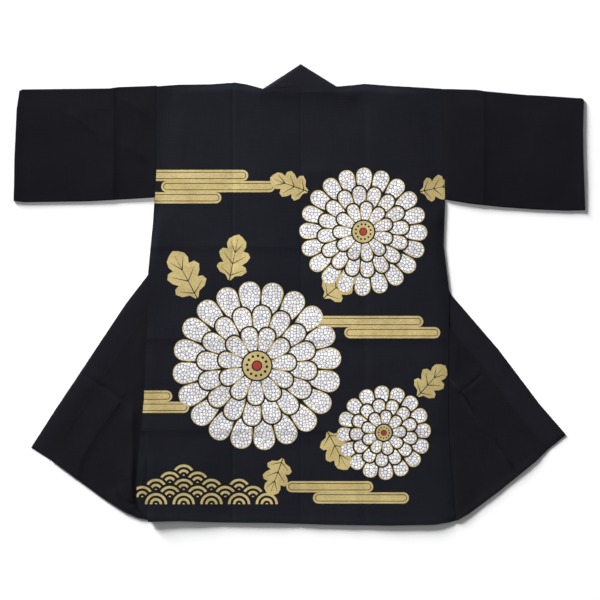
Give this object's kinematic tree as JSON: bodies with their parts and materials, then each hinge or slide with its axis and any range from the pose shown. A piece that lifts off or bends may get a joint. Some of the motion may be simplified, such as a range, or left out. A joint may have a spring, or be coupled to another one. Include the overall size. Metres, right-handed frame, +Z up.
{
  "type": "happi coat",
  "caption": "Short straight cotton coat with wide sleeves and a collar band, laid flat face down with its fronts turned out under the back.",
  "frame": {"origin": "on the resting surface, under the middle of the laid coat's box", "axes": "+X along the sleeves, to the right as seen from above; +Y from the hem towards the neck; +Z up, out of the surface"},
  "size_m": [1.28, 1.0334, 0.0058],
  "materials": {
    "back_cotton": "matt black cotton with a printed back",
    "front_cotton": "matt black cotton",
    "collar_cotton": "matt black cotton, folded in four",
    "sleeve_cotton": "matt black cotton"
  },
  "bodies": {
    "root": {"back_left": "back_cotton", "back_right": "back_cotton", "front_left": "front_cotton", "front_right": "front_cotton", "collar_left": "collar_cotton", "collar_right": "collar_cotton", "sleeve_left": "sleeve_cotton", "sleeve_right": "sleeve_cotton"}
  },
  "joints": []
}
